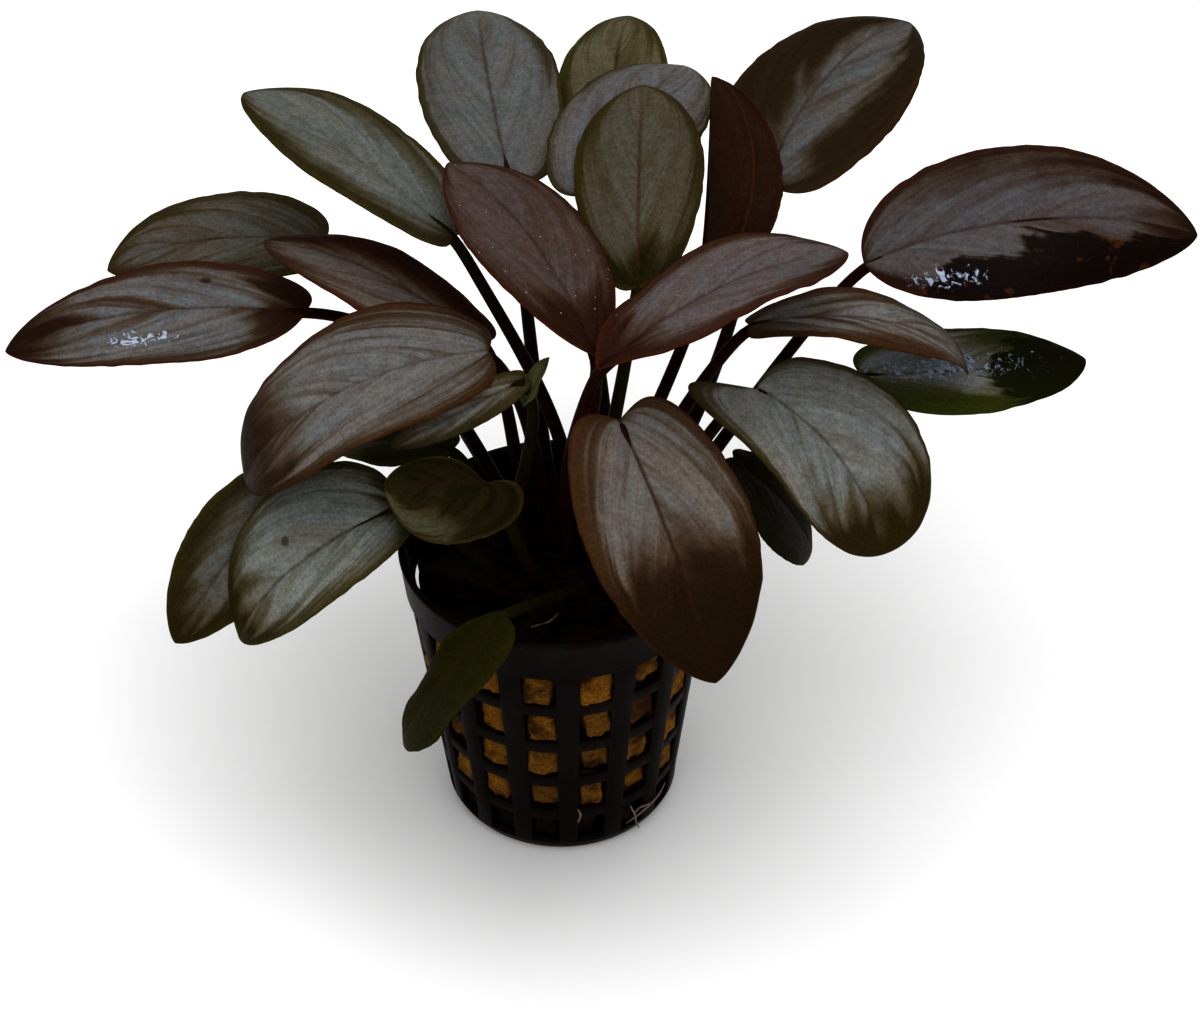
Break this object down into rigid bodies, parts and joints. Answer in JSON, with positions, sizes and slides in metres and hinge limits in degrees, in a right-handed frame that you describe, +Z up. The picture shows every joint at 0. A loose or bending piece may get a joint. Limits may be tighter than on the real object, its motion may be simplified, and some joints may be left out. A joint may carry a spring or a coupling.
{
  "type": "potted aquarium plant",
  "caption": "Low bushy aquarium plant with heart-based oval red-brown and olive leaves on thin stalks, rooted in rock wool in a tapered black mesh pot.",
  "frame": {"origin": "centre of the pot's flat underside, on its vertical axis", "axes": "+Z up out of the pot; -Y toward the picture's viewer; +X to the picture's right, toward the longest leaf"},
  "size_m": [0.204, 0.1462, 0.1146],
  "materials": {
    "pot_plastic": "satin black injection-moulded plastic, smoother on the upper band",
    "wool": "damp, fibrous, mustard brown rock wool with dark soil on top",
    "rhizome": "rough, dark brown, ringed with leaf scars",
    "leaf_red": "waxy red-brown to mauve leaf with fine long veins, a grey sheen and a rust margin",
    "leaf_brown": "waxy silver-mauve leaf with red-brown streaks and a rust margin",
    "leaf_olive": "waxy grey-olive leaf with fine long veins",
    "leaf_green": "waxy dark green leaf with a grey sheen",
    "root": "pale pinkish root, slightly translucent in life"
  },
  "bodies": {
    "root": {"net_pot": "pot_plastic", "rock_wool": "wool", "rhizome": "rhizome", "leaf_far_left": "leaf_red", "leaf_left_back": "leaf_olive", "leaf_left_brown": "leaf_red", "leaf_left_broad": "leaf_brown", "leaf_left_folded": "leaf_olive", "leaf_low_left_dark": "leaf_olive", "leaf_low_left_broad": "leaf_green", "leaf_left_under": "leaf_green", "leaf_small_heart": "leaf_green", "leaf_upper_left_long": "leaf_olive", "leaf_top_left_round": "leaf_olive", "leaf_top_centre": "leaf_green", "leaf_top_grey": "leaf_olive", "leaf_centre_upright": "leaf_green", "leaf_centre_left_red": "leaf_red", "leaf_centre_right_red": "leaf_red", "leaf_rolled": "leaf_red", "leaf_top_right": "leaf_brown", "leaf_far_right": "leaf_red", "leaf_right_arched": "leaf_brown", "leaf_right_wet": "leaf_green", "leaf_right_broad": "leaf_olive", "leaf_right_under": "leaf_green", "leaf_front_broad": "leaf_brown", "leaf_front_small": "leaf_green", "leaf_on_wool": "leaf_brown", "root_on_wool": "root", "root_in_window": "root"}
  },
  "joints": []
}
